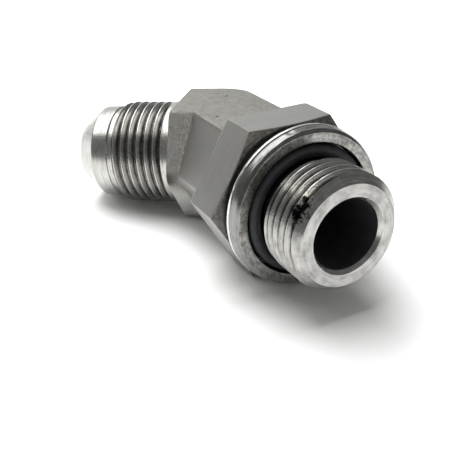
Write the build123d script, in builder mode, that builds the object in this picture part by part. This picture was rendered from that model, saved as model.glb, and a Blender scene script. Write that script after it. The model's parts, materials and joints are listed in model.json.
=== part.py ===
from build123d import *
from math import asin, cos, degrees, radians, sin, sqrt, tan
import os

# Ports, measured from the point where the two axes cross
bend_deg = 45.0
stud_length = 39.2
flare_length = 27.3
stud_bore_d = 11.2
flare_bore_d = 9.9
bore_mouth = 0.6

# Thread, three quarters of an inch with sixteen turns to the inch on both ends, drawn as rings
thread_d = 19.05
thread_pitch = 25.4 / 16
thread_depth = 0.61343 * thread_pitch
flank_deg = 30.0
crest_flat = thread_pitch / 8

# Forged body, a six-sided bar bent over with its sides flattened at the parting line
body_wall = 1.075
parting_proud = 1.2
forging_corner_r = 0.5
stud_shoulder = 14.2
flare_shoulder = 7.26
outer_turn_r = 9.0

# Stud end: plain neck between the locknut's thread and the port's thread
neck_drop = 1.025
neck_lead = 0.9
neck_length = 4.85
stud_lead = 1.3

# Flare end: thread, relief, land and thirty-seven degree cone
flare_collar = 2.4
flare_relief_drop = 1.225
flare_relief_width = 0.7
land_drop = 0.875
land_length = 3.05
nose_wall = 0.72
cone_deg = 37.0

# Locknut
nut_wall = 3.175
nut_gap = 1.8
nut_hex_length = 8.0
nut_turn_deg = -5.07
nut_bevel_deg = 21.0
nut_bevel_inset = 0.15
nut_back_bevel = 0.3
hub_wall = 0.975
hub_length = 1.9
running_clearance = 0.05

# Backup washer: a web behind the seal ring and a rim round it
washer_thickness = 2.94
washer_web = 1.0
washer_rim = 2.34
washer_bevel = 0.6
washer_round = 0.35
washer_clearance = 0.3
rim_line_place = 0.85
rim_line_width = 0.25
rim_line_depth = 0.15

# Seal ring
ring_section_d = 2.21
ring_clearance = 0.05
pocket_clearance = 0.23

# Worked-out radii
bend = radians(bend_deg)
thread_r = thread_d / 2
neck_r = thread_r - neck_drop
land_r = thread_r - land_drop
nose_r = flare_bore_d / 2 + nose_wall
flare_relief_r = thread_r - flare_relief_drop
body_af = thread_d + 2 * body_wall
turn_in = outer_turn_r - body_af / 2 * tan(radians(30))
nut_af = thread_d + 2 * nut_wall
ring_r = neck_r + ring_clearance + ring_section_d / 2
pocket_r = ring_r + ring_section_d / 2 + pocket_clearance
washer_r = pocket_r + washer_rim

# Worked-out places along the stud
nut_back = stud_shoulder + nut_gap
nut_front = nut_back + nut_hex_length
washer_back = nut_front + hub_length
washer_front = washer_back + washer_thickness
ring_centre = washer_back + washer_web + ring_section_d / 2
neck_start = washer_back - neck_lead
neck_end = neck_start + neck_length

# Worked-out places along the flare end
land_start = flare_length - (land_r - nose_r) / tan(radians(cone_deg))
relief_end = land_start - land_length
relief_start = relief_end - flare_relief_width
flare_thread_end = relief_start - flare_relief_drop
flare_thread_start = flare_shoulder + flare_collar


def resting_lift(roll):
    """Rise of the stud axis, in degrees, when the fitting lies on a table.

    It lies on the back edge of the locknut's lowest flat and on the last crest of the flare end, and the
    two are equally low at this rise. The flare end's dip depends on the rise, so it is found by repeating.
    """
    rise = 0.0
    for _ in range(8):
        level = sqrt(1 - rise**2)
        dip = cos(bend) * rise + sin(bend) * sin(roll) * level
        nut_low = nut_af / 2 * level
        crest_low = flare_thread_end * sin(bend) * sin(roll) * level + thread_r * sqrt(1 - dip**2)
        rise = (nut_low - crest_low) / (nut_back + flare_thread_end * cos(bend))
    return degrees(asin(rise))


# The locknut's lowest flat lies level, so the elbow rolls about the stud as far as the nut is turned on it
roll_deg = -nut_turn_deg
lift_deg = resting_lift(radians(roll_deg))

# Planes: the elbow plane holds both axes, with X along the stud and Z square to both
stud_way = Vector(1, 0, 0).rotate(Axis.Y, -lift_deg)
elbow_up = Vector(0, 0, 1).rotate(Axis.Y, -lift_deg).rotate(Axis((0, 0, 0), stud_way), roll_deg)
elbow = Plane(origin=(0, 0, 0), x_dir=stud_way, z_dir=elbow_up)
flare = elbow.moved(Rotation(0, 0, 180 + bend_deg))
stud_axis = Axis(elbow.origin, elbow.x_dir)
flare_axis = Axis(flare.origin, flare.x_dir)
stud_section = Plane(origin=elbow.origin, x_dir=elbow.y_dir, z_dir=elbow.x_dir)
flare_section = Plane(origin=flare.origin, x_dir=flare.y_dir, z_dir=flare.x_dir)
nut_section = stud_section.moved(Rotation(0, 0, nut_turn_deg))


def thread_outline(start, end):
    """Points along a threaded length: V grooves one pitch apart, with flat crests and roots."""
    half_top = (thread_pitch - crest_flat) / 2
    half_root = half_top - thread_depth * tan(radians(flank_deg))
    root_r = thread_r - thread_depth
    grooves = int((end - start) / thread_pitch)
    first = (start + end - (grooves - 1) * thread_pitch) / 2
    points = [(start, thread_r)]
    for index in range(grooves):
        middle = first + index * thread_pitch
        points += [
            (middle - half_top, thread_r),
            (middle - half_root, root_r),
            (middle + half_root, root_r),
            (middle + half_top, thread_r),
        ]
    return points + [(end, thread_r)]


# Cross-section of the forging, flat faces up and down
with BuildSketch() as forging:
    RegularPolygon(body_af / 2, 6, major_radius=False)
    Rectangle(body_af + 2 * parting_proud, 2 * body_af, mode=Mode.INTERSECT)
    fillet(forging.vertices(), forging_corner_r)

# Body: two forged legs with a rounded outer bend, a turned shank on each, and the drilled passage
with BuildPart() as body:
    leg_start = turn_in * tan(bend / 2)
    with BuildSketch(stud_section.offset(leg_start)):
        add(forging.sketch)
    extrude(amount=stud_shoulder - leg_start)
    with BuildSketch(flare_section.offset(leg_start)):
        add(forging.sketch)
    extrude(amount=flare_shoulder - leg_start)
    with BuildSketch(stud_section.offset(leg_start)):
        add(forging.sketch)
        with Locations((body_af - turn_in, 0)):
            Rectangle(2 * body_af, 2 * body_af, mode=Mode.INTERSECT)
    turn_centre = elbow.from_local_coords((leg_start, -turn_in, 0))
    revolve(axis=Axis(turn_centre, elbow.z_dir), revolution_arc=bend_deg)

    # Stud shank: plain rear thread, neck, port thread and its lead
    with BuildSketch(elbow):
        with BuildLine():
            Polyline(
                (0, 0),
                (0, neck_r),
                (stud_shoulder - neck_drop, neck_r),
                (stud_shoulder, thread_r),
                (neck_start - neck_drop, thread_r),
                (neck_start, neck_r),
                (neck_end, neck_r),
                *thread_outline(neck_end + neck_drop, stud_length - stud_lead),
                (stud_length, thread_r - stud_lead),
                (stud_length, 0),
                close=True,
            )
        make_face()
    revolve(axis=stud_axis)

    # Flare shank: collar, thread, relief, land and cone
    with BuildSketch(flare):
        with BuildLine():
            Polyline(
                (0, 0),
                (0, neck_r),
                (flare_shoulder - neck_drop, neck_r),
                (flare_shoulder, thread_r),
                *thread_outline(flare_thread_start, flare_thread_end),
                (relief_start, flare_relief_r),
                (relief_end, flare_relief_r),
                (relief_end, land_r),
                (land_start, land_r),
                (flare_length, nose_r),
                (flare_length, 0),
                close=True,
            )
        make_face()
    revolve(axis=flare_axis)

    # Passage: one drilled hole along each axis, blended where they meet
    with BuildSketch(elbow):
        with BuildLine():
            Polyline(
                (0, 0),
                (0, stud_bore_d / 2),
                (stud_length - bore_mouth, stud_bore_d / 2),
                (stud_length, stud_bore_d / 2 + bore_mouth),
                (stud_length, 0),
                close=True,
            )
        make_face()
    revolve(axis=stud_axis, mode=Mode.SUBTRACT)
    with BuildSketch(flare_section):
        Circle(flare_bore_d / 2)
    extrude(amount=flare_length, mode=Mode.SUBTRACT)
    with Locations(elbow.origin):
        Sphere(stud_bore_d / 2, mode=Mode.SUBTRACT)

# Locknut: hexagon with bevelled corners, and a round hub that bears on the washer
with BuildPart() as locknut:
    corner_r = nut_af / sqrt(3)
    bevel_r = nut_af / 2 - nut_bevel_inset
    bevel_start = nut_front - (corner_r - bevel_r) * tan(radians(nut_bevel_deg))
    with BuildSketch(nut_section.offset(nut_back)):
        RegularPolygon(nut_af / 2, 6, major_radius=False)
    extrude(amount=nut_hex_length)
    with BuildSketch(elbow):
        with BuildLine():
            Polyline(
                (nut_back, 0),
                (nut_back, corner_r - nut_back_bevel),
                (nut_back + nut_back_bevel, corner_r),
                (bevel_start, corner_r),
                (nut_front, bevel_r),
                (nut_front, 0),
                close=True,
            )
        make_face()
    revolve(axis=stud_axis, mode=Mode.INTERSECT)
    with BuildSketch(stud_section.offset(nut_front)):
        Circle(thread_r + hub_wall)
    extrude(amount=hub_length)
    with BuildSketch(stud_section.offset(nut_back)):
        Circle(thread_r + running_clearance)
    extrude(amount=washer_back - nut_back, mode=Mode.SUBTRACT)

# Backup washer: web and rim in one, with a fine turned line round the rim
with BuildPart() as backup_washer:
    web_r = thread_r + washer_clearance
    line_start = washer_back + rim_line_place
    with BuildSketch(elbow):
        with BuildLine():
            Polyline(
                (washer_back, web_r),
                (washer_back, washer_r - washer_round),
                (washer_back + washer_round, washer_r),
                (line_start, washer_r),
                (line_start + rim_line_width / 2, washer_r - rim_line_depth),
                (line_start + rim_line_width, washer_r),
                (washer_front - washer_bevel, washer_r),
                (washer_front, washer_r - washer_bevel),
                (washer_front, pocket_r),
                (washer_back + washer_web, pocket_r),
                (washer_back + washer_web, web_r),
                close=True,
            )
        make_face()
    revolve(axis=stud_axis)

# Seal ring, seated against the washer's web
with BuildPart() as o_ring:
    with BuildSketch(elbow):
        with Locations((ring_centre, ring_r)):
            Circle(ring_section_d / 2)
    revolve(axis=stud_axis)

# The origin is on the table, under the middle of the whole fitting
pieces = {"body": body.part, "locknut": locknut.part, "backup_washer": backup_washer.part, "o_ring": o_ring.part}
boxes = [piece.bounding_box() for piece in pieces.values()]
low = Vector(*(min(getattr(box.min, way) for box in boxes) for way in "XYZ"))
high = Vector(*(max(getattr(box.max, way) for box in boxes) for way in "XYZ"))
crossing = Vector(-(low.X + high.X) / 2, -(low.Y + high.Y) / 2, -low.Z)

os.makedirs("parts", exist_ok=True)
for name, piece in pieces.items():
    piece.move(Location(crossing))
    piece.label = name
    export_step(piece, f"parts/{name}.step")

print("axes cross at", crossing)
print("stud axis", elbow.x_dir, "flare axis", flare.x_dir)
print("rise of the stud axis, degrees", round(lift_deg, 3))
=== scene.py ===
import json
import logging
import math
from dataclasses import dataclass, field
from enum import Enum

import bmesh
import bpy
import numpy as np
from mathutils import Matrix, Vector


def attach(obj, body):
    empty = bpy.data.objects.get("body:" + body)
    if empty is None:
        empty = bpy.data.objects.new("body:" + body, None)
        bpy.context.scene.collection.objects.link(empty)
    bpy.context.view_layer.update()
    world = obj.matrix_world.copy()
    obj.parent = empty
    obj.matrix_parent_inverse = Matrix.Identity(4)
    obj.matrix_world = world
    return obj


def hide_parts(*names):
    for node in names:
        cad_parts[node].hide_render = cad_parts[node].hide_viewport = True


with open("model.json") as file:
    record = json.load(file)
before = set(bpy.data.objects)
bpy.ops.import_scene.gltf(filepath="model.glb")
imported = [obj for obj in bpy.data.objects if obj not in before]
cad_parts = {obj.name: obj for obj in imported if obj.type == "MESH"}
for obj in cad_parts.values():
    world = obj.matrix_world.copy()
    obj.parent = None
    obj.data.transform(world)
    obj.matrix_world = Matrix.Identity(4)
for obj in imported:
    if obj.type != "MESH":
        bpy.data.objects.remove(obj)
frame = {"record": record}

log = logging.getLogger("elbow")

MM = 0.001
TAU = 2 * math.pi
# points nearer than this, in metres, are merged
MERGE = 2e-7
# faces that meet at more than this angle keep a sharp edge
SHARP = math.radians(38)


class Zone(Enum):
    """The parts of a piece's surface that are finished differently, in the order of its material slots."""

    MAIN = 0
    FACE = 1
    BORE = 2
    BAND = 3


class Port(Enum):
    """The two ports of the elbow, each with the mount that gives its axis."""

    STUD = "stud_bore"
    FLARE = "flare_bore"


@dataclass(frozen=True)
class PortAxes:
    """One port's own directions, with lengths in millimetres from the point where the two axes cross.

    x runs out along the port, z is square to the elbow plane, and y is across the port in that plane.
    """

    origin: Vector
    x: Vector
    y: Vector
    z: Vector

    def place(self, along: np.ndarray, across: np.ndarray, up: np.ndarray) -> np.ndarray:
        """Turns the port's millimetres into metres of the frame.

        Args:
            along, across, up: arrays of one shape.

        Returns:
            An array of that shape with a last axis of three.
        """
        axes = np.array([self.x, self.y, self.z])
        local = np.stack(np.broadcast_arrays(along, across, up), axis=-1)
        return np.array(self.origin) + MM * (local @ axes)

    def turned(self, along: np.ndarray, radius: np.ndarray, around: np.ndarray) -> np.ndarray:
        """Points in metres of a surface turned about the port's axis."""
        return self.place(along, radius * np.cos(around), radius * np.sin(around))


def port_axes() -> dict[Port, PortAxes]:
    """Reads both ports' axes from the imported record: the origin is where the two bore axes cross.

    Returns:
        The axes of each port.
    """
    mounts = {m["name"]: m for m in frame["record"]["mounts"]}
    stud_at, stud_way = (Vector(mounts[Port.STUD.value][k]) for k in ("pos_m", "axis"))
    flare_at, flare_way = (Vector(mounts[Port.FLARE.value][k]) for k in ("pos_m", "axis"))
    square = flare_way.cross(stud_way).normalized()
    # the flare axis meets the stud axis where the way from one to the other has no part across the stud
    across = square.cross(stud_way)
    along_flare = (stud_at - flare_at).dot(across) / flare_way.dot(across)
    crossing = flare_at + along_flare * flare_way
    return {
        Port.STUD: PortAxes(crossing, stud_way, square.cross(stud_way), square),
        Port.FLARE: PortAxes(crossing, flare_way, square.cross(flare_way), square),
    }


def smooth_min(a: np.ndarray, b: np.ndarray, width: float) -> np.ndarray:
    """The lower of two heights, with the corner between them rounded over about this width in millimetres."""
    return np.minimum(a, b) - width * np.log1p(np.exp(-np.abs(a - b) / width))


def smooth_max(a: np.ndarray, b: np.ndarray, width: float) -> np.ndarray:
    """The higher of two heights, rounded like smooth_min."""
    return -smooth_min(-np.asarray(a), -np.asarray(b), width)


def rounded(points: list[tuple[float, float]], radius: float, steps: int = 4) -> np.ndarray:
    """Rounds the inner corners of an open outline.

    Each corner is replaced by the curve u -> (1-u)^2 A + 2u(1-u) C + u^2 B, from a point A before the corner C
    to a point B after it, both at the radius or at a third of the shorter side, whichever is nearer.

    Args:
        points: the corners, in order.
        radius: how far from each corner its rounding starts, in millimetres.
        steps: how many pieces each rounding has.

    Returns:
        An array of points, two numbers each.
    """
    corners = np.array(points, float)
    before, corner, after = corners[:-2], corners[1:-1], corners[2:]
    back, ahead = before - corner, after - corner
    back_len = np.linalg.norm(back, axis=1, keepdims=True)
    ahead_len = np.linalg.norm(ahead, axis=1, keepdims=True)
    reach = np.minimum(radius, np.minimum(back_len, ahead_len) / 3)
    start, end = corner + back / back_len * reach, corner + ahead / ahead_len * reach
    u = np.linspace(0, 1, steps + 1)[None, :, None]
    curve = (1 - u) ** 2 * start[:, None] + 2 * u * (1 - u) * corner[:, None] + u**2 * end[:, None]
    return np.vstack([corners[:1], curve.reshape(-1, 2), corners[-1:]])


def spread(points: np.ndarray, gap: float) -> np.ndarray:
    """Adds points to an outline so that none are further apart than the gap, in millimetres."""
    sides = np.linalg.norm(np.diff(points, axis=0), axis=1)
    share = [np.linspace(i, i + 1, max(int(np.ceil(d / gap)), 1), endpoint=False) for i, d in enumerate(sides)]
    at = np.append(np.concatenate(share), len(points) - 1)
    return np.stack([np.interp(at, np.arange(len(points)), points[:, k]) for k in (0, 1)], axis=1)


def crowded_angles(corners: np.ndarray, columns: int, crowd: float, reach: float) -> np.ndarray:
    """Angles of a grid's columns, closer together near a section's corners.

    The count of columns up to an angle grows with 1 + crowd * sum(exp(-((angle - corner) / reach)^2)).

    Args:
        corners: angles of the corners.
        columns: how many columns go round.
        crowd, reach: how much closer they are at a corner, and over what angle.

    Returns:
        The angles from nought to a full turn, one more than the columns.
    """
    fine = np.linspace(0, TAU, 7201)
    away = (fine[:, None] - corners + math.pi) % TAU - math.pi
    density = 1 + crowd * np.exp(-((away / reach) ** 2)).sum(axis=1)
    count = np.concatenate([[0], np.cumsum((density[1:] + density[:-1]) / 2)])
    return np.interp(np.linspace(0, count[-1], columns + 1), count, fine)


def closed_surface(name: str, grid: np.ndarray, zones: np.ndarray | None = None,
                   marks: dict[str, np.ndarray] | None = None) -> bpy.types.Object:
    """Makes a closed ring-shaped surface from a grid of points.

    The grid's rows run once round the outline and its columns once round the axis. The last column repeats the
    first, a row or a turn of the thread further on, and is merged with it.

    Args:
        name: the piece's name.
        grid: points in metres, rows by columns by three.
        zones: each row's material slot, for the faces between it and the next row.
        marks: numbers from 0 to 1 at each point, kept as attributes that the material reads.

    Returns:
        The new object, with its faces pointing outwards.
    """
    rows, columns = grid.shape[:2]
    row, column = np.meshgrid(np.arange(rows), np.arange(columns - 1), indexing="ij")
    lower, upper = row * columns, (row + 1) % rows * columns
    quads = np.stack([lower + column, lower + column + 1, upper + column + 1, upper + column], axis=-1)
    mesh = bpy.data.meshes.new(name)
    mesh.from_pydata(grid.reshape(-1, 3), [], quads.reshape(-1, 4))
    if zones is not None:
        mesh.polygons.foreach_set("material_index", np.repeat(zones, columns - 1).astype(np.int32))
    for mark, values in (marks or {}).items():
        layer = mesh.attributes.new(mark, "FLOAT", "POINT")
        layer.data.foreach_set("value", values.astype(np.float32).ravel())
    shape = bmesh.new()
    shape.from_mesh(mesh)
    bmesh.ops.remove_doubles(shape, verts=shape.verts, dist=MERGE)
    bmesh.ops.recalc_face_normals(shape, faces=shape.faces)
    if shape.calc_volume(signed=True) < 0:
        bmesh.ops.reverse_faces(shape, faces=shape.faces)
    shape.to_mesh(mesh)
    shape.free()
    mesh.shade_smooth()
    mesh.set_sharp_from_angle(angle=SHARP)
    piece = bpy.data.objects.new(name, mesh)
    bpy.context.collection.objects.link(piece)
    return piece


@dataclass(frozen=True)
class Dents:
    """Small dents scattered over a turned surface, with lengths in millimetres.

    Attributes:
        count, seed: how many dents, and the seed of their places.
        span: the lowest and highest place along the axis.
        size, depth: smallest and largest.
    """

    count: int
    seed: int
    span: tuple[float, float]
    size: tuple[float, float]
    depth: tuple[float, float]

    def depths(self, around: np.ndarray, along: np.ndarray, radius: float) -> np.ndarray:
        """Depth of the dents at each point.

        Each dent is d * exp(-(distance / size)^2), with its distance measured along the axis and round it.

        Args:
            around, along: the angle and the place along the axis of each point.
            radius: turns an angle into a length.

        Returns:
            The depth in millimetres at each point.
        """
        rng = np.random.default_rng(self.seed)
        total = np.zeros(np.broadcast(around, along).shape)
        for _ in range(self.count):
            at, turn = rng.uniform(*self.span), rng.uniform(0, TAU)
            wide, deep = rng.uniform(*self.size), rng.uniform(*self.depth)
            arc = radius * ((around - turn + math.pi) % TAU - math.pi)
            total = total + deep * np.exp(-(((along - at) / wide) ** 2) - (arc / (wide * rng.uniform(0.6, 1.8))) ** 2)
        return total


@dataclass(frozen=True)
class Thread:
    """Outside thread of three quarters of an inch by sixteen turns to the inch, right-handed, in millimetres."""

    major_r: float = 9.525
    pitch: float = 25.4 / 16
    depth_share: float = 0.61343
    crest_share: float = 1 / 8
    crest_round: float = 0.022
    root_round: float = 0.045
    flank: float = math.radians(30)
    groove_from: float = 0.45
    groove_span: float = 0.3
    steps: int = 15

    def radius(self, along: np.ndarray, around: np.ndarray, first: float, facing: float) -> np.ndarray:
        """Height of the thread: flat crests, flanks at thirty degrees to the radius and a rounded root.

        Args:
            along, around: place along the axis and angle about it.
            first: where a crest's middle passes the facing angle.
            facing: that angle.

        Returns:
            The radius at each point.
        """
        turn = (along - first) / self.pitch - (around - facing) / TAU
        off = np.abs(turn - np.round(turn)) * self.pitch
        flank = self.major_r + (self.crest_share * self.pitch / 2 - off) / math.tan(self.flank)
        crest = smooth_min(flank, np.full_like(flank, self.major_r), self.crest_round)
        return smooth_max(crest, self.major_r - self.depth_share * self.pitch, self.root_round)

    def groove(self, radius: np.ndarray) -> np.ndarray:
        """How far each point lies in a groove's painted shade: 0 down to groove_from of the depth, and 1 at the root.
        """
        depth = self.depth_share * self.pitch
        return np.clip(((self.major_r - radius) / depth - self.groove_from) / self.groove_span, 0, 1)

    def rows(self, start: float, end: float, around: np.ndarray, first: float, facing: float) -> np.ndarray:
        """Places along the axis of the grid's rows, which follow the helix and stop at both ends.

        Each row keeps one share of a turn: along = first + pitch * (row / steps + angle / full turn), held
        between start and end.

        Returns:
            An array of rows by columns.
        """
        lowest = math.floor((start - first) / self.pitch) - 2
        highest = math.ceil((end - first) / self.pitch) + 2
        share = np.arange(lowest * self.steps, highest * self.steps + 1)[:, None] / self.steps
        return np.clip(first + self.pitch * (share + (around - facing) / TAU), start, end)


def turned_rows(outline: np.ndarray, columns: int) -> tuple[np.ndarray, np.ndarray]:
    """Spreads an outline of (along, radius) points over all columns."""
    along, radius = (np.repeat(outline[:, k][:, None], columns, axis=1) for k in (0, 1))
    return along, radius


def stacked(parts: list[tuple[np.ndarray, np.ndarray]]) -> tuple[np.ndarray, np.ndarray]:
    """Joins the rows of several (along, radius) pairs, one after the other."""
    along, radius = (np.vstack([part[k] for part in parts]) for k in (0, 1))
    return along, radius


@dataclass
class StudEnd:
    """Straight-thread end: rear thread for the locknut, plain neck, port thread, end face and bore."""

    axes: PortAxes
    thread: Thread = field(default_factory=Thread)
    shoulder: float = 14.2
    rear_end: float = 23.975
    neck_start: float = 25.0
    neck_end: float = 29.85
    neck_r: float = 8.5
    length: float = 39.2
    face_r: float = 8.23
    lead: float = 1.37
    bore_r: float = 5.6
    mouth: float = 0.6
    rear_crest: float = 15.2
    front_crest: float = 31.79
    facing: float = math.radians(125.9)
    stain_side: float = math.radians(138)
    stain_at: float = 37.6
    stain_size: tuple[float, float] = (0.42, 1.5)
    dents: Dents = Dents(60, 3, (31, 39), (0.15, 0.5), (0.02, 0.09))
    chips: Dents = Dents(18, 8, (38.5, 39.2), (0.12, 0.3), (0.02, 0.07))
    columns: int = 420

    def build(self) -> bpy.types.Object:
        """Turns the end: the outline's radius is the lower of the thread and its two run-outs.

        Returns:
            The piece, still without its finish.
        """
        around = np.linspace(0, TAU, self.columns + 1)[None, :]
        parts = [turned_rows(spread(np.array([(self.shoulder, self.bore_r), (self.shoulder, self.neck_r)]), 2.0),
                             self.columns + 1)]
        rear = self.thread.rows(self.shoulder, self.neck_start, around, self.rear_crest, self.facing)
        rear_r = self.thread.radius(rear, around, self.rear_crest, self.facing)
        rear_r = smooth_min(rear_r, self.neck_r + np.maximum(self.neck_start - rear, 0), 0.03)
        rear_r = np.minimum(rear_r, np.maximum(self.neck_r, self.neck_r + 4 * (rear - self.shoulder)))
        parts.append((rear, rear_r))
        neck = np.array([(self.neck_start + 0.01, self.neck_r), (self.neck_end - 0.01, self.neck_r)])
        parts.append(turned_rows(spread(neck, 1.0), self.columns + 1))
        front = self.thread.rows(self.neck_end, self.length, around, self.front_crest, self.facing)
        front_r = self.thread.radius(front, around, self.front_crest, self.facing)
        front_r = smooth_min(front_r, self.neck_r + np.maximum(front - self.neck_end, 0), 0.03)
        slope = (self.thread.major_r - self.face_r) / self.lead
        front_r = smooth_min(front_r, self.face_r + slope * (self.length - front), 0.05)
        front_r -= self.dents.depths(around, front, self.thread.major_r) * (front_r > self.thread.major_r - 0.35)
        parts.append((front, front_r))
        end = rounded([(self.length - 0.02, self.face_r), (self.length, self.face_r - 0.05),
                       (self.length, self.bore_r + self.mouth),
                       (self.length - self.mouth, self.bore_r), (self.shoulder, self.bore_r)], 0.08)
        parts.append(turned_rows(spread(end, 1.0), self.columns + 1))
        along, radius = stacked(parts)
        threaded = (along > self.neck_end + 0.8) & (along < self.length - self.lead)
        # the groove mark: where the thread roots get painted shade
        groove = self.thread.groove(radius) * threaded
        chips = self.chips.depths(around, along, self.bore_r)
        near_mouth = (radius < self.bore_r + self.mouth + 0.4) & (along > self.length - self.mouth - 0.3)
        radius = radius + np.where(near_mouth, chips, 0)
        middle = along.mean(axis=1)
        low = radius.mean(axis=1)
        zones = np.full(len(along), Zone.MAIN.value)
        zones[(middle > self.length - 0.01) & (low < self.face_r)] = Zone.FACE.value
        zones[(low < self.bore_r + 0.2) & (middle < self.length - self.mouth + 0.05)] = Zone.BORE.value
        grid = self.axes.turned(along, radius, around)
        side = (around - self.stain_side + math.pi) % TAU - math.pi
        turn, length = self.stain_size
        stain = np.exp(-((side / turn) ** 2) - (((along - self.stain_at) / length) ** 2)) * (radius > self.bore_r + 1)
        return closed_surface("stud_end", grid, zones, {"groove": groove, "stain": stain})


@dataclass
class FlareEnd:
    """Flare end: collar, thread, relief groove, land, thirty-seven degree cone and bore."""

    axes: PortAxes
    thread: Thread = field(default_factory=Thread)
    shoulder: float = 7.26
    collar_end: float = 9.1
    thread_end: float = 19.45
    relief_r: float = 8.4
    relief_end: float = 20.3
    land_r: float = 8.65
    land_end: float = 23.35
    length: float = 27.3
    nose_r: float = 5.67
    bore_r: float = 4.95
    mouth: float = 0.25
    crest: float = 10.61
    facing: float = math.radians(31.0)
    dents: Dents = Dents(40, 5, (9, 19), (0.15, 0.4), (0.02, 0.06))
    columns: int = 300

    def build(self) -> bpy.types.Object:
        """Turns the end. The thread runs out into the collar, so its grooves grow deeper away from it.

        Returns:
            The piece, still without its finish.
        """
        around = np.linspace(0, TAU, self.columns + 1)[None, :]
        back = np.array([(self.shoulder, self.bore_r), (self.shoulder, self.relief_r)])
        parts = [turned_rows(spread(back, 2.0), self.columns + 1)]
        rows = self.thread.rows(self.shoulder, self.thread_end, around, self.crest, self.facing)
        radius = self.thread.radius(rows, around, self.crest, self.facing)
        runout = self.thread.major_r - np.maximum(rows - self.collar_end, 0) * 1.3
        radius = smooth_max(radius, runout, 0.03)
        radius = np.minimum(radius, self.relief_r + 6 * (rows - self.shoulder))
        radius = smooth_min(radius, self.relief_r + 1.25 * (self.thread_end - rows), 0.04)
        radius -= self.dents.depths(around, rows, self.thread.major_r) * (radius > self.thread.major_r - 0.3)
        parts.append((rows, radius))
        end = rounded([(self.thread_end + 0.01, self.relief_r), (self.relief_end, self.relief_r),
                       (self.relief_end + 0.12, self.land_r), (self.land_end, self.land_r),
                       (self.length, self.nose_r), (self.length, self.bore_r + self.mouth),
                       (self.length - self.mouth, self.bore_r), (self.shoulder, self.bore_r)], 0.14)
        parts.append(turned_rows(spread(end, 0.8), self.columns + 1))
        along, radius = stacked(parts)
        # the groove mark: where the thread roots get painted shade
        groove = self.thread.groove(radius) * ((along > self.shoulder) & (along < self.thread_end))
        zones = np.full(len(along), Zone.MAIN.value)
        zones[radius.mean(axis=1) < self.bore_r + 0.05] = Zone.BORE.value
        grid = self.axes.turned(along, radius, around)
        return closed_surface("flare_end", grid, zones, {"groove": groove})


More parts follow.
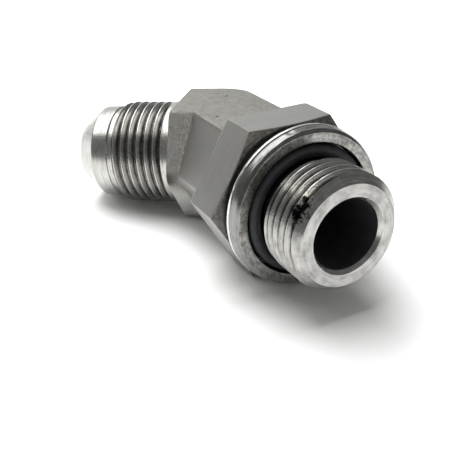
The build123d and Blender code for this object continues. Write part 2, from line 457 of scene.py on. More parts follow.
@dataclass
class Forging:
    """The bent six-sided middle: flat top and bottom, a land at the parting line, a rounded outer bend."""

    stud: PortAxes
    flare: PortAxes
    half_flat: float = 10.6
    half_width: float = 11.8
    corner_round: float = 0.10
    worn_round: float = 0.30
    land_half: float = 1.0
    rim_r: float = 9.3
    turn_in: float = 2.88
    bend: float = math.radians(45)
    stud_shoulder: float = 14.2
    flare_shoulder: float = 7.26
    stud_bore_r: float = 5.6
    flare_bore_r: float = 4.95
    columns: int = 336

    def angles(self) -> np.ndarray:
        """Angles of the columns, crowded at the section's corners and at the edges of its land."""
        land = math.atan2((self.half_flat - self.half_width * math.cos(math.radians(30))) / 0.5, self.half_width)
        corners = np.radians([60, 120, 240, 300])
        corners = np.concatenate([corners, [land, TAU - land, math.pi - land, math.pi + land]])
        return crowded_angles(corners, self.columns, 9, math.radians(2.5))

    def section(self, around: np.ndarray, rounding: float) -> np.ndarray:
        """Radius of the section: the smooth lowest of flat / cos(angle - its normal) over the eight flats."""
        normals = np.radians([30, 90, 150, 210, 270, 330, 0, 180])
        flats = np.array([self.half_flat] * 6 + [self.half_width] * 2)
        cosine = np.maximum(np.cos(around[:, None] - normals), 1e-3)
        distance = flats / cosine
        low = distance.min(axis=1, keepdims=True)
        return low[:, 0] - rounding * np.log(np.exp(-(distance - low) / rounding).sum(axis=1))

    def sweep(self, across: np.ndarray, up: np.ndarray, turn_in: float, arc: np.ndarray,
              stud_leg: np.ndarray, flare_leg: np.ndarray) -> np.ndarray:
        """Carries section points round the bend.

        A point further out than the turning axis goes round it in an arc of its own radius. One further in runs
        straight to the plane that halves the bend, where the two legs meet in a crease.

        Args:
            across, up: the section's points, across and square to the elbow plane.
            turn_in: how far the turning axis lies to the inner side of both port axes.
            arc: shares of the bend, from the stud to the flare end.
            stud_leg, flare_leg: shares of each straight leg, from its shoulder to the bend.

        Returns:
            Points in metres, rows by columns by three.
        """
        inner = np.minimum(across, -turn_in)
        swing = np.maximum(across + turn_in, 0)
        bend_start = -inner * math.tan(self.bend / 2)
        stud_along = self.stud_shoulder + stud_leg[:, None] * (bend_start - self.stud_shoulder)
        angle = arc[:, None] * self.bend
        arc_along = bend_start - swing * np.sin(angle)
        arc_across = inner + swing * np.cos(angle)
        flare_along = self.flare_shoulder + flare_leg[::-1][:, None] * (bend_start - self.flare_shoulder)
        first = self.stud.place(stud_along, across[None], up[None])
        middle = self.stud.place(arc_along, arc_across, up[None])
        last = self.flare.place(flare_along, -across[None], up[None])
        return np.concatenate([first, middle, last])

    def skin(self, around: np.ndarray, inset: float, legs: int, arc: int) -> tuple[np.ndarray, np.ndarray]:
        """The outer skin, with crisp corners on the stud leg and worn, rounder ones on the flare leg.

        Both are swept, and the rows go from one to the other over the bend. The first and last rows are drawn in
        by a small bevel.

        Args:
            around: the columns' angles.
            inset: the size of the bevel.
            legs, arc: how many rows each leg and the bend have.

        Returns:
            The points, and each row's share of the flare leg.
        """
        leg = np.concatenate([[0.0], np.linspace(0.012, 1, legs)])
        shares = np.linspace(0, 1, arc)[1:-1]
        worn = np.clip(np.concatenate([0 * leg, shares, 0 * leg + 1]) * 1.6 - 0.3, 0, 1)
        both = []
        for rounding in (self.corner_round, self.worn_round):
            radius = self.section(around, rounding)
            rows = self.sweep(radius * np.cos(around), radius * np.sin(around), self.turn_in, shares, leg, leg)
            small = radius - inset
            ends = self.sweep(small * np.cos(around), small * np.sin(around), self.turn_in,
                              np.array([0.5]), np.array([0.0]), np.array([0.0]))
            rows[0], rows[-1] = ends[0], ends[-1]
            both.append(rows)
        return both[0] + (both[1] - both[0]) * worn[:, None, None], worn

    def build(self) -> bpy.types.Object:
        """Joins the skin, the two shoulders and the drilled passage into one closed surface.

        The passage is swept like the skin, with its turning axis on the crossing, and narrows past it as a
        sphere does: radius = sqrt(stud_bore^2 - along^2), down to the flare bore.

        Returns:
            The piece, still without its finish.
        """
        around = self.angles()
        skin, worn = self.skin(around, 0.12, 26, 26)
        leg = np.linspace(0, 1, 12)
        wide = self.sweep(self.stud_bore_r * np.cos(around), self.stud_bore_r * np.sin(around), 0.0,
                          np.linspace(0, 1, 12)[1:-1], leg, leg)
        narrow = self.sweep(self.flare_bore_r * np.cos(around), self.flare_bore_r * np.sin(around), 0.0,
                            np.linspace(0, 1, 12)[1:-1], leg, leg)
        ball = math.sqrt(self.stud_bore_r**2 - self.flare_bore_r**2)
        reach = np.clip((flare_distance(narrow, self.flare) - ball) / 0.3, 0, 1)[..., None]
        passage = wide * (1 - reach) + narrow * reach
        rim = np.stack([self.rim_r * np.cos(around), self.rim_r * np.sin(around)])
        stud_rim = self.stud.place(np.full_like(around, self.stud_shoulder), rim[0], rim[1])[None]
        flare_rim = self.flare.place(np.full_like(around, self.flare_shoulder), -rim[0], rim[1])[None]
        grid = np.concatenate([skin, flare_rim, passage[::-1], stud_rim])
        zones = np.full(len(grid), Zone.MAIN.value)
        zones[len(skin):] = Zone.BORE.value
        leg_share = np.zeros(len(grid))
        leg_share[:len(skin)] = worn
        parting = np.clip(1.6 - np.abs(np.sin(around)) * self.half_width / self.land_half, 0, 1)
        fade = np.clip((flare_distance(grid.mean(axis=1), self.flare) - 2.0) / 4.0, 0, 1)
        return closed_surface("forging", grid, zones, {
            "milled": self.milled(grid),
            "worn": np.repeat(leg_share[:, None], len(around), axis=1),
            "parting": parting[None] * fade[:, None],
        })

    def milled(self, grid: np.ndarray) -> np.ndarray:
        """How far each point belongs to the stud leg's milled sides, from 0 on the rough skin to 1."""
        local = (grid - np.array(self.stud.origin)) / MM
        along, across, up = (local @ np.array(v) for v in (self.stud.x, self.stud.y, self.stud.z))
        crease = along + across * math.tan(self.bend / 2)
        side = np.clip((self.half_flat - 0.35 - np.abs(up)) / 0.5, 0, 1)
        return np.clip(crease / 1.2 + 0.5, 0, 1) * side


def flare_distance(points: np.ndarray, axes: PortAxes) -> np.ndarray:
    """Distance of each point from the crossing along the flare axis, in millimetres."""
    return ((points - np.array(axes.origin)) @ np.array(axes.x)) / MM


@dataclass
class Locknut:
    """Hexagon nut with a flat bevelled front, broken edges and a round hub against the washer."""

    axes: PortAxes
    half_flat: float = 12.7
    back: float = 16.0
    front: float = 24.0
    hub_end: float = 25.9
    hub_r: float = 10.5
    bore_r: float = 9.575
    mouth: float = 0.45
    back_ring_r: float = 11.2
    bevel_r: float = 12.55
    bevel: float = math.radians(21)
    back_bevel: float = 0.3
    edge: float = 0.10
    corner_round: float = 0.035
    turn: float = math.radians(-5.07)
    dents: Dents = Dents(26, 11, (16.0, 24.0), (0.12, 0.38), (0.03, 0.12))
    columns: int = 540

    def angles(self) -> np.ndarray:
        """Angles of the columns, crowded at the six corners."""
        return crowded_angles(np.radians(np.arange(0, 360, 60)) + self.turn, self.columns, 12, math.radians(1.6))

    def build(self) -> bpy.types.Object:
        """Cuts the nut: each side's front edge is where it meets the bevel cone, at front - (R - r) * tan(bevel).

        Returns:
            The piece, still without its finish.
        """
        around = self.angles()
        normals = np.radians(np.arange(30, 390, 60)) + self.turn
        distance = self.half_flat / np.maximum(np.cos(around[:, None] - normals), 1e-3)
        low = distance.min(axis=1, keepdims=True)
        side = low[:, 0] - self.corner_round * np.log(np.exp(-(distance - low) / self.corner_round).sum(axis=1))
        corner_r = self.half_flat / math.cos(math.radians(30))
        back_r = corner_r - self.back_bevel
        meet = self.front - (side - self.bevel_r) * math.tan(self.bevel)
        rows: list[tuple[np.ndarray, np.ndarray]] = []
        flat = np.ones_like(around)
        rows.append(((self.back + self.mouth) * flat, self.bore_r * flat))
        rows.append((self.back * flat, (self.bore_r + self.mouth) * flat))
        rows.append((self.back * flat, self.back_ring_r * flat))
        rows.append((self.back * flat, np.minimum(side - self.edge, back_r)))
        rows.append((self.back + 0.03 + np.maximum(side - back_r, 0) * 0.5, np.minimum(side - 0.03, back_r + 0.15)))
        start = self.back + self.edge + np.maximum(side - back_r, 0)
        stop = meet - self.edge
        for share in np.linspace(0, 1, 26):
            rows.append((start + share * (stop - start), side))
        for u in (0.25, 0.5, 0.75, 1.0):
            pull = self.edge * ((1 - u) ** 2 * np.array([-1, 0])
                                + u**2 * np.array([math.sin(self.bevel), -math.cos(self.bevel)]))
            rows.append((meet + pull[0], side + pull[1]))
        for share in (0.33, 0.66, 1.0):
            inner = side - self.edge * math.cos(self.bevel)
            radius = inner + share * (self.bevel_r - 0.12 - inner)
            rows.append((np.minimum(self.front - (radius - self.bevel_r) * math.tan(self.bevel), self.front), radius))
        hub = rounded([(self.front, self.bevel_r - 0.2), (self.front, self.hub_r),
                       (self.hub_end, self.hub_r), (self.hub_end, self.bore_r + 0.4),
                       (self.hub_end - 0.4, self.bore_r), (self.back + 0.5, self.bore_r)], 0.15)
        rows += [(p[0] * flat, p[1] * flat) for p in spread(hub, 1.5)]
        along, radius = (np.array([r[k] for r in rows]) for k in (0, 1))
        on_side = radius > self.hub_r + 1.5
        dents = self.dents.depths(around[None], along, corner_r)
        near_corner = np.clip((side[None] - self.half_flat - 0.9) / 0.6, 0, 1)
        radius = radius - np.where(on_side, dents * near_corner, 0)
        zones = np.full(len(along), Zone.MAIN.value)
        # the front bevel and face take the darkened finish, painted shade
        zones[(along.mean(axis=1) > self.front - 0.45) & (radius.mean(axis=1) > self.hub_r)] = Zone.FACE.value
        zones[radius.mean(axis=1) < self.bore_r + 0.1] = Zone.BORE.value
        grid = self.axes.turned(along, radius, around)
        return closed_surface("hex_nut", grid, zones)


@dataclass
class BackupWasher:
    """Round washer with a web behind the seal ring, a bevelled rim and a fine turned line round it."""

    axes: PortAxes
    back: float = 25.9
    front: float = 28.84
    web: float = 1.0
    bore_r: float = 9.825
    rim_r: float = 13.33
    pocket_r: float = 10.99
    line: float = 26.75
    line_width: float = 0.36
    line_depth: float = 0.26
    dents: Dents = Dents(46, 21, (25.9, 28.84), (0.12, 0.4), (0.03, 0.12))
    columns: int = 300

    def build(self) -> bpy.types.Object:
        """Turns the washer from its rounded outline.

        Returns:
            The piece, still without its finish.
        """
        around = np.linspace(0, TAU, self.columns + 1)[None, :]
        outline = rounded([
            (self.back + 0.5, self.bore_r), (self.back, self.bore_r + 0.15),
            (self.back, self.rim_r - 0.35), (self.back + 0.35, self.rim_r),
            (self.line - 0.22, self.rim_r), (self.line, self.rim_r - 0.05),
            (self.line + self.line_width / 2, self.rim_r - self.line_depth),
            (self.line + self.line_width, self.rim_r - 0.05), (self.front - 0.55, self.rim_r - 0.26),
            (self.front, self.rim_r - 0.66),
            (self.front, self.pocket_r + 0.12), (self.front - 0.12, self.pocket_r),
            (self.back + self.web, self.pocket_r), (self.back + self.web, self.bore_r),
            (self.back + 0.5, self.bore_r)], 0.12)[:-1]
        along, radius = turned_rows(spread(outline, 0.35), self.columns + 1)
        rim = radius > self.rim_r - 0.5
        dents = self.dents.depths(around, along, self.rim_r)
        radius = radius - np.where(rim, dents, 0)
        zones = np.full(len(along), Zone.MAIN.value)
        # the rear band takes the lighter finish, a painted highlight
        zones[(along.mean(axis=1) < self.line) & (radius.mean(axis=1) > self.rim_r - 0.4)] = Zone.BAND.value
        zones[(along.mean(axis=1) > self.front - 0.02) & (radius.mean(axis=1) < self.rim_r - 0.5)] = Zone.FACE.value
        grid = self.axes.turned(along, radius, around)
        return closed_surface("turned_washer", grid, zones)


@dataclass
class SealRing:
    """Round-section rubber ring, seated on the stud's neck against the washer's web."""

    axes: PortAxes
    centre: float = 28.005
    ring_r: float = 9.655
    section_r: float = 1.105
    columns: int = 240

    def build(self) -> bpy.types.Object:
        """Sweeps a circle round the stud: along = centre + r cos v, radius = ring + r sin v.

        Returns:
            The piece, still without its finish.
        """
        around = np.linspace(0, TAU, self.columns + 1)[None, :]
        turn = np.linspace(0, TAU, 48, endpoint=False)[:, None]
        along = self.centre + self.section_r * np.cos(turn) + 0 * around
        radius = self.ring_r + self.section_r * np.sin(turn) + 0 * around
        grid = self.axes.turned(along, radius, around)
        return closed_surface("seal_ring", grid)


def linear(colour: str) -> tuple[float, float, float, float]:
    """Turns an sRGB hex colour into the linear colour that a shader takes."""
    parts = [int(colour[i:i + 2], 16) / 255 for i in (1, 3, 5)]
    return (*[p / 12.92 if p <= 0.04045 else ((p + 0.055) / 1.055) ** 2.4 for p in parts], 1.0)


def add(tree: bpy.types.NodeTree, kind: str, inputs: dict | None = None, **settings: object) -> bpy.types.Node:
    """Adds a node, with its settings, and fills its inputs with values or with other nodes' outputs.

    Args:
        tree: the material's or world's nodes.
        kind: the node's type, without its ShaderNode prefix.
        inputs: values or output sockets, by the input's name or number.
        settings: properties of the node.

    Returns:
        The new node.
    """
    made = tree.nodes.new("ShaderNode" + kind)
    for key, value in settings.items():
        setattr(made, key, value)
    for key, value in (inputs or {}).items():
        if isinstance(value, bpy.types.NodeSocket):
            tree.links.new(value, made.inputs[key])
        else:
            made.inputs[key].default_value = value
    return made


def noise(tree: bpy.types.NodeTree, place: bpy.types.NodeSocket, size: float, detail: float,
          roughness: float = 0.5) -> bpy.types.NodeSocket:
    """Cloudy noise whose clouds are about this size, in the units of the place."""
    return add(tree, "TexNoise", {"Vector": place, "Scale": 1 / size, "Detail": detail,
                                  "Roughness": roughness}).outputs["Fac"]


def ramp(tree: bpy.types.NodeTree, value: bpy.types.NodeSocket, start: float = 0.0, end: float = 1.0,
         to: tuple[float, float] = (0.0, 1.0)) -> bpy.types.NodeSocket:
    """A value spread from start..end over the two numbers, and held at them beyond."""
    return add(tree, "MapRange", {"Value": value, "From Min": start, "From Max": end, "To Min": to[0],
                                  "To Max": to[1]}).outputs["Result"]


def blend(tree: bpy.types.NodeTree, share: bpy.types.NodeSocket, first: object, second: object
          ) -> bpy.types.NodeSocket:
    """One colour turning into another as the share goes from 0 to 1, each a hex colour or a node's output."""
    first, second = (linear(c) if isinstance(c, str) else c for c in (first, second))
    return add(tree, "Mix", {0: share, 6: first, 7: second}, data_type="RGBA").outputs[2]


def maths(tree: bpy.types.NodeTree, operation: str, *values: object, clamp: bool = False) -> bpy.types.NodeSocket:
    """The result of one sum on numbers or nodes' outputs."""
    return add(tree, "Math", dict(enumerate(values)), operation=operation, use_clamp=clamp).outputs[0]


def bump(tree: bpy.types.NodeTree, height: bpy.types.NodeSocket, depth_mm: float,
         over: bpy.types.NodeSocket | None = None, sunk: bool = False) -> bpy.types.NodeSocket:
    """Relief that rises with the height, or sinks with it, laid over another relief."""
    inputs = {"Height": height, "Strength": 1.0, "Distance": depth_mm * MM}
    if over is not None:
        inputs["Normal"] = over
    return add(tree, "Bump", inputs, invert=sunk).outputs[0]


def mark(tree: bpy.types.NodeTree, name: str) -> bpy.types.NodeSocket:
    """One of the marks that the mesh carries."""
    return add(tree, "Attribute", attribute_name=name).outputs["Fac"]


def port_millimetres(tree: bpy.types.NodeTree, axes: PortAxes) -> bpy.types.NodeSocket:
    """Object coordinates turned into a port's own axes, in millimetres from the crossing."""
    turn = Matrix([axes.x, axes.y, axes.z])
    source = add(tree, "TexCoord").outputs["Object"]
    mapping = add(tree, "Mapping", {"Vector": source, "Location": -(turn @ axes.origin) / MM,
                                    "Rotation": turn.to_euler(), "Scale": (1 / MM,) * 3}, vector_type="POINT")
    return mapping.outputs["Vector"]


def new_material(name: str) -> tuple[bpy.types.Material, bpy.types.NodeTree, bpy.types.Node]:
    """A material with a shader joined to its output.

    Returns:
        The material, its nodes and the shader.
    """
    material = bpy.data.materials.new(name)
    material.use_nodes = True
    tree = material.node_tree
    tree.nodes.clear()
    shader = add(tree, "BsdfPrincipled")
    add(tree, "OutputMaterial", {"Surface": shader.outputs["BSDF"]})
    return material, tree, shader


@dataclass(frozen=True)
class TurnedSteel:
    """Bare carbon steel from a lathe tool: streaks round the axis break up sharp reflections.

    Attributes:
        light, dark: colours of clean and stained metal.
        streak_mm: how wide and how long a streak is.
        inward: how much a step inwards counts as a step along the axis, so that streaks follow the outline.
        mean_r: about the radius of the turned surfaces, which turns an angle into a length.
        patch_band, streak_band: from where to where the noises go from none to all.
        groove: colour of the painted shade in a thread's grooves.
        stain: colour of an oil stain, where the mesh is marked for one.
    """

    name: str
    light: str
    dark: str
    roughness: tuple[float, float]
    streak_mm: tuple[float, float] = (0.34, 5.0)
    streak_depth_mm: float = 0.012
    inward: float = 0.7
    mean_r: float = 10.0
    blotch_mm: float = 1.8
    blotch_share: float = 0.5
    patch_band: tuple[float, float] = (0.42, 0.64)
    streak_band: tuple[float, float] = (0.35, 0.65)
    grain_mm: float = 0.30
    grain_depth_mm: float = 0.010
    groove: str | None = None
    stain: str | None = None
    stain_mm: float = 1 / 0.9

    def make(self, axes: PortAxes) -> bpy.types.Material:
        """Builds the material for a piece turned about a port's axis.

        Args:
            axes: that port's axes.

        Returns:
            The material.
        """
        material, tree, shader = new_material(self.name)
        place = port_millimetres(tree, axes)
        parts = add(tree, "SeparateXYZ", {0: place}).outputs
        flat = add(tree, "CombineXYZ", {1: parts[1], 2: parts[2]}).outputs[0]
        radius = add(tree, "VectorMath", {0: flat}, operation="LENGTH").outputs["Value"]
        around = add(tree, "VectorMath", {0: flat}, operation="NORMALIZE").outputs["Vector"]
        ring_at = maths(tree, "MULTIPLY_ADD", radius, -self.inward, parts[0])
        ring_way = add(tree, "CombineXYZ", {0: ring_at}).outputs[0]
        turns = self.mean_r / self.streak_mm[1]
        long_way = add(tree, "VectorMath", {0: around, 1: (0, turns, turns)}, operation="MULTIPLY").outputs[0]
        streak_at = add(tree, "VectorMath", {0: ring_way, 1: (1 / self.streak_mm[0],) * 3, 2: long_way},
                        operation="MULTIPLY_ADD").outputs[0]
        streaks = noise(tree, streak_at, 1.0, 3.0, 0.6)
        blotch = noise(tree, place, self.blotch_mm, 6.0, 0.68)
        grain = noise(tree, place, self.grain_mm, 2.0)
        patch = ramp(tree, blotch, *self.patch_band)
        streak = ramp(tree, streaks, *self.streak_band, to=(0.0, 0.5))
        shade = maths(tree, "MULTIPLY_ADD", patch, self.blotch_share, streak, clamp=True)
        colour = blend(tree, shade, self.light, self.dark)
        # painted shade: the marked thread roots turn to the groove colour, patchy with the blotch noise
        if self.groove:
            patchy = ramp(tree, blotch, 0.3, 0.6, to=(0.55, 1.0))
            colour = blend(tree, maths(tree, "MULTIPLY", mark(tree, "groove"), patchy), colour, self.groove)
        if self.stain:
            speck = noise(tree, place, self.stain_mm, 5.0, 0.7)
            wet = maths(tree, "MULTIPLY_ADD", mark(tree, "stain"), 0.42, speck)
            colour = blend(tree, ramp(tree, wet, 0.74, 0.82), colour, self.stain)
        tree.links.new(colour, shader.inputs["Base Color"])
        tree.links.new(ramp(tree, shade, to=self.roughness), shader.inputs["Roughness"])
        relief = bump(tree, grain, self.grain_depth_mm, bump(tree, streaks, self.streak_depth_mm))
        tree.links.new(relief, shader.inputs["Normal"])
        shader.inputs["Metallic"].default_value = 1.0
        return material


# bright crests over grooves darkened black as painted shade, with one oil stain near the end
DIE_CUT_THREAD = TurnedSteel("Die-cut thread steel", "#c3c2be", "#82817e", (0.16, 0.3), blotch_share=0.4,
                             groove="#2c2b2a", stain="#1b1a1a")
# the flare end: the brightest piece, with coarse tool streaks and grooves darkened grey as painted shade
TURNED_FLARE = TurnedSteel("Turned flare steel", "#c9c8c4", "#8f8e8b", (0.22, 0.34), blotch_share=0.2,
                           streak_depth_mm=0.03, groove="#5c5b59")
# the stud's end face: light and half matt, with cloudy patches
FACED_END = TurnedSteel("Faced steel", "#c9c8c5", "#8f8e8b", (0.28, 0.42))
# the washer's rim: darker, with crisp reflections
TURNED_WASHER = TurnedSteel("Turned washer steel", "#979794", "#5f5f5d", (0.16, 0.28), blotch_share=0.3)
# the band behind the washer's turned line: lightened as a painted highlight
PAINTED_HIGHLIGHT_BAND = TurnedSteel("Washer edge with painted highlight", "#e4e4e1", "#a9a9a6", (0.2, 0.3), blotch_share=0.2)
# the washer's front: mottled by tumbling
TUMBLED_FACE = TurnedSteel("Tumbled washer steel", "#b3b2ae", "#6d6c69", (0.2, 0.34), blotch_mm=1.2,
                           blotch_share=0.7)
# the locknut's sides: even and satin
MILLED_NUT = TurnedSteel("Milled bar steel", "#a5a4a0", "#93928e", (0.28, 0.36), blotch_share=0.15,
                         streak_depth_mm=0.004)
# the locknut's front: darkened as painted shade beside the washer, matt and grainy
SHADED_NUT_FRONT = TurnedSteel("Nut front steel with painted shade", "#7f7d7a", "#504e4b", (0.4, 0.55), blotch_mm=0.8,
                         grain_depth_mm=0.05)


@dataclass(frozen=True)
class ForgedSteel:
    """Shot-cleaned carbon steel forging: sandy skin that sparkles, and smoother milled sides on the stud leg."""

    name: str = "Shot-cleaned forged steel"
    light: str = "#9f9e98"
    dark: str = "#85837e"
    milled: str = "#9b9a97"
    # colour of the painted reflection of the table on the lower sides
    painted_floor_reflection: str = "#cfcec9"
    sheared: str = "#5d5b58"
    sand_mm: float = 0.30
    sand_depth_mm: float = 0.30
    fine_mm: float = 0.30
    fine_depth_mm: float = 0.035
    pit: str = "#2a2827"
    pit_mm: float = 2.6
    pit_rarity: float = 0.8
    pit_depth_mm: float = 0.25
    mottle_mm: float = 1 / 1.1
    top_mm: tuple[float, float] = (10.35, 10.58)
    top_sand: float = 0.16
    sheared_sand: float = 0.8
    # heights over which the painted reflection of the table fades in
    painted_reflection_below_mm: tuple[float, float] = (-1.2, -3.5)

    def make(self, stud: PortAxes) -> bpy.types.Material:
        """Builds the material: sand on the flare leg's sides, a finer grain on top, and few pits all over.

        Args:
            stud: axes of the stud, for the patterns' place.

        Returns:
            The material.
        """
        material, tree, shader = new_material(self.name)
        place = port_millimetres(tree, stud)
        milled, worn, parting = (mark(tree, name) for name in ("milled", "worn", "parting"))
        parts = add(tree, "SeparateXYZ", {0: place}).outputs
        height = maths(tree, "ABSOLUTE", parts[2])
        sand = noise(tree, place, self.sand_mm, 3.0, 0.6)
        fine = noise(tree, place, self.fine_mm, 2.0)
        rough_share = add(tree, "Mix", {0: ramp(tree, height, *self.top_mm), 2: ramp(tree, worn, to=(0.12, 1.0)),
                                        3: self.top_sand}, data_type="FLOAT").outputs[0]
        sandy = maths(tree, "MULTIPLY", sand, maths(tree, "MULTIPLY_ADD", parting, self.sheared_sand, rough_share))
        cells = add(tree, "TexVoronoi", {"Vector": place, "Scale": 1 / self.pit_mm, "Randomness": 1.0})
        pick = add(tree, "SeparateColor", {0: cells.outputs["Color"]}).outputs[0]
        rare = maths(tree, "GREATER_THAN", pick, self.pit_rarity)
        near = ramp(tree, cells.outputs["Distance"], 0.05, 0.12, to=(1.0, 0.0))
        pit = maths(tree, "MULTIPLY", near, rare)
        mottled = noise(tree, place, self.mottle_mm, 6.0, 0.75)
        skin = blend(tree, ramp(tree, mottled, 0.35, 0.65), self.light, self.dark)
        # painted reflection: the skin turns lighter towards the bottom, standing in for the bright table that the
        # lower sides mirror
        skin = blend(tree, ramp(tree, parts[2], *self.painted_reflection_below_mm), skin, self.painted_floor_reflection)
        sides = blend(tree, milled, skin, self.milled)
        sheared = blend(tree, parting, sides, self.sheared)
        tree.links.new(blend(tree, pit, sheared, self.pit), shader.inputs["Base Color"])
        tree.links.new(ramp(tree, milled, to=(0.40, 0.34)), shader.inputs["Roughness"])
        skin_relief = bump(tree, fine, self.fine_depth_mm, bump(tree, sandy, self.sand_depth_mm))
        tree.links.new(bump(tree, pit, self.pit_depth_mm, skin_relief, sunk=True), shader.inputs["Normal"])
        shader.inputs["Metallic"].default_value = 1.0
        return material


@dataclass(frozen=True)
class DarkBore:
    """Inside of a drilled hole, painted dark as shade for the light that doesn't reach into it."""

    name: str = "Drilled steel with painted shade"
    # dark colour: painted shade inside the holes
    colour: str = "#4c4c50"
    smear: str = "#303033"
    smear_mm: float = 1 / 0.42

    def make(self) -> bpy.types.Material:
        """Builds the material: dark, half gloss, with faint smears.

        Returns:
            The material.
        """
        material, tree, shader = new_material(self.name)
        place = add(tree, "TexCoord").outputs["Object"]
        colour = blend(tree, noise(tree, place, self.smear_mm * MM, 4.0), self.colour, self.smear)
        tree.links.new(colour, shader.inputs["Base Color"])
        shader.inputs["Metallic"].default_value = 0.3
        shader.inputs["Roughness"].default_value = 0.5
        return material


@dataclass(frozen=True)
class NitrileRubber:
    """Moulded nitrile rubber: blue-black, satin, with the faint bloom that handling leaves."""

    name: str = "Moulded nitrile rubber"
    colour: str = "#141619"
    bloom: str = "#22262b"
    bloom_mm: float = 1 / 0.9
    bloom_relief: float = 0.4
    bloom_depth_mm: float = 0.01
    roughness: float = 0.52

    def make(self) -> bpy.types.Material:
        """Builds the material.

        Returns:
            The material.
        """
        material, tree, shader = new_material(self.name)
        place = add(tree, "TexCoord").outputs["Object"]
        dust = noise(tree, place, self.bloom_mm * MM, 4.0)
        colour = blend(tree, ramp(tree, dust, 0.45, 0.75), self.colour, self.bloom)
        tree.links.new(colour, shader.inputs["Base Color"])
        soft = add(tree, "Bump", {"Height": dust, "Strength": self.bloom_relief, "Distance": self.bloom_depth_mm * MM})
        tree.links.new(soft.outputs[0], shader.inputs["Normal"])
        shader.inputs["Roughness"].default_value = self.roughness
        shader.inputs["IOR"].default_value = 1.52
        return material


@dataclass
class Elbow:
    """The whole fitting: builds each piece, dresses it and hands it to the frame."""

    axes: dict[Port, PortAxes] = field(default_factory=port_axes)

    def hand_over(self, piece: bpy.types.Object, body: str, node: str,
                  finishes: dict[Zone, bpy.types.Material]) -> None:
        """Gives a piece its finishes, the body it moves with and the node that it stands for.

        Args:
            piece, body, node: the piece and its names in the frame.
            finishes: each zone's finish. A zone that the piece doesn't have takes the main one.
        """
        for zone in Zone:
            if zone.value <= max(used.value for used in finishes):
                piece.data.materials.append(finishes.get(zone, finishes[Zone.MAIN]))
        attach(piece, body)
        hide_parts(node)
        log.info("%s: %d faces on %s", piece.name, len(piece.data.polygons), body)

    def build(self) -> None:
        """Builds the body's three parts, then the nut, the washer and the seal ring."""
        stud, flare = self.axes[Port.STUD], self.axes[Port.FLARE]
        bore = DarkBore().make()
        self.hand_over(Forging(stud, flare).build(), "fitting", "body",
                       {Zone.MAIN: ForgedSteel().make(stud), Zone.BORE: bore})
        self.hand_over(StudEnd(stud).build(), "fitting", "body",
                       {Zone.MAIN: DIE_CUT_THREAD.make(stud), Zone.FACE: FACED_END.make(stud), Zone.BORE: bore})
        self.hand_over(FlareEnd(flare).build(), "fitting", "body",
                       {Zone.MAIN: TURNED_FLARE.make(flare), Zone.BORE: bore})
        self.hand_over(Locknut(stud).build(), "nut", "locknut",
                       {Zone.MAIN: MILLED_NUT.make(stud), Zone.FACE: SHADED_NUT_FRONT.make(stud), Zone.BORE: bore})
        self.hand_over(BackupWasher(stud).build(), "washer_set", "backup_washer",
                       {Zone.MAIN: TURNED_WASHER.make(stud), Zone.FACE: TUMBLED_FACE.make(stud),
                        Zone.BAND: PAINTED_HIGHLIGHT_BAND.make(stud)})
        self.hand_over(SealRing(stud).build(), "washer_set", "o_ring",
                       {Zone.MAIN: NitrileRubber().make()})


@dataclass(frozen=True)
class SoftBox:
    """A rectangular light that faces the fitting, with its centre and its two sides in metres.

    Attributes:
        watts, colour: its power and tint.
        reflected: whether the steel mirrors it, or it only lights what is matt.
    """

    name: str
    place: tuple[float, float, float]
    size: tuple[float, float]
    watts: float
    colour: tuple[float, float, float] = (1.0, 1.0, 1.0)
    reflected: bool = True

    def hang(self) -> None:
        """Adds the light to the scene, hidden from the camera."""
        light = bpy.data.lights.new(self.name, "AREA")
        light.shape = "RECTANGLE"
        light.size, light.size_y = self.size
        light.energy = self.watts
        light.color = self.colour
        holder = bpy.data.objects.new(self.name, light)
        holder.location = self.place
        holder.rotation_euler = (-holder.location).to_track_quat("-Z", "Y").to_euler()
        holder.visible_camera = False
        holder.visible_glossy = self.reflected
        bpy.context.collection.objects.link(holder)


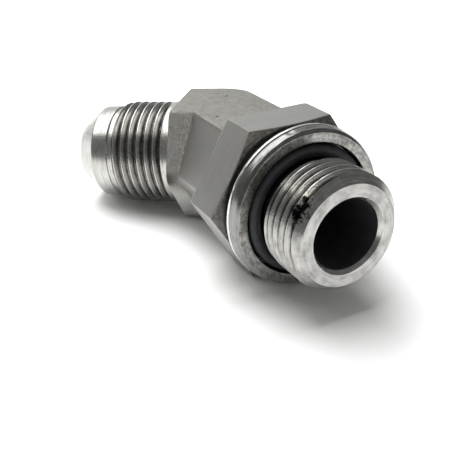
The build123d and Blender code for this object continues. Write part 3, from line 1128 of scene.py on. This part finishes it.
@dataclass(frozen=True)
class Studio:
    """White table, soft light from above and a camera where the photograph was taken from."""

    azimuth: float = math.radians(-23.939)
    elevation: float = math.radians(29.25)
    roll: float = math.radians(7.595)
    offset_mm: tuple[float, float, float] = (-0.204, -13.683, 139.805)
    focal_px: float = 747.6
    picture_px: float = 452.0
    sensor_mm: float = 36.0
    bright_way: tuple[float, float, float] = (-0.97, 0.10, 0.20)
    bright_room: tuple[float, float, float] = (0.92, 0.92, 0.91)
    dark_room: tuple[float, float, float] = (0.20, 0.20, 0.20)
    bright_from: float = 0.55
    table_half: float = 1.5
    table_colour: str = "#f2f2f2"
    nearest: float = 0.005
    boxes: tuple[SoftBox, ...] = (
        SoftBox("Overhead panel", (-0.106, -0.008, 0.35), (0.30, 0.30), 1.8, reflected=False),
        SoftBox("Tall window", (-0.1825, -0.0851, 0.3222), (0.44, 0.22), 0.85),
        SoftBox("Front window", (0.407, 0.057, 0.183), (0.26, 0.08), 0.2, (1.0, 0.98, 0.90)),
    )

    def camera(self, stud: PortAxes) -> None:
        """Places the camera from where the crossing of the axes lies before it: right, down and ahead."""
        ca, sa = math.cos(self.azimuth), math.sin(self.azimuth)
        ce, se = math.cos(self.elevation), math.sin(self.elevation)
        back = Vector((ce * ca, ce * sa, se))
        ahead = -back
        right = ahead.cross(Vector((0, 0, 1))).normalized()
        down = ahead.cross(right)
        turned_right = math.cos(self.roll) * right + math.sin(self.roll) * down
        turned_down = -math.sin(self.roll) * right + math.cos(self.roll) * down
        rows = (turned_right, turned_down, ahead)
        eye = -sum((o * r for o, r in zip(self.offset_mm, rows)), Vector())
        world_axes = Matrix([stud.x, stud.y, stud.z]).transposed()
        turn = (world_axes @ Matrix([turned_right, -turned_down, back]).transposed()).to_4x4()
        data = bpy.data.cameras.new("Camera")
        data.sensor_width = self.sensor_mm
        data.lens = self.focal_px / self.picture_px * self.sensor_mm
        data.clip_start = self.nearest
        holder = bpy.data.objects.new("Camera", data)
        holder.matrix_world = Matrix.Translation(stud.origin + MM * (world_axes @ eye)) @ turn
        bpy.context.collection.objects.link(holder)
        bpy.context.scene.camera = holder

    def lights(self) -> None:
        """Hangs the lights in a dim room that is lightest at the back, which the steel mirrors."""
        world = bpy.data.worlds.new("Studio")
        bpy.context.scene.world = world
        world.use_nodes = True
        tree = world.node_tree
        tree.nodes.clear()
        way = add(tree, "TexCoord").outputs["Generated"]
        toward = add(tree, "VectorMath", {0: way, 1: self.bright_way}, operation="DOT_PRODUCT").outputs["Value"]
        share = add(tree, "MapRange", {"Value": toward, "From Min": self.bright_from, "From Max": 1.0},
                    interpolation_type="SMOOTHSTEP").outputs["Result"]
        room = add(tree, "Mix", {0: share, 6: (*self.dark_room, 1), 7: (*self.bright_room, 1)}, data_type="RGBA")
        back = add(tree, "Background", {"Color": room.outputs[2], "Strength": 1.0})
        add(tree, "OutputWorld", {"Surface": back.outputs[0]})
        for box in self.boxes:
            box.hang()

    def table(self) -> None:
        """A large matt white sheet at the height that the fitting lies on."""
        reach = self.table_half
        mesh = bpy.data.meshes.new("table")
        mesh.from_pydata([(-reach, -reach, 0), (reach, -reach, 0), (reach, reach, 0), (-reach, reach, 0)], [],
                         [(0, 1, 2, 3)])
        sheet = bpy.data.objects.new("table", mesh)
        bpy.context.collection.objects.link(sheet)
        material, tree, shader = new_material("White card")
        shader.inputs["Base Color"].default_value = linear(self.table_colour)
        shader.inputs["Roughness"].default_value = 0.8
        mesh.materials.append(material)

    def set_up(self, stud: PortAxes) -> None:
        """Makes the table, the lights and the camera."""
        self.table()
        self.lights()
        self.camera(stud)
        scene = bpy.context.scene
        scene.view_settings.view_transform = "Standard"
        scene.view_settings.look = "None"


def main() -> None:
    """Builds the studio, then the fitting."""
    logging.basicConfig(level=logging.INFO, format="%(name)s %(message)s")
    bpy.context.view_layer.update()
    elbow = Elbow()
    Studio().set_up(elbow.axes[Port.STUD])
    elbow.build()


if __name__ == "__main__":
    main()
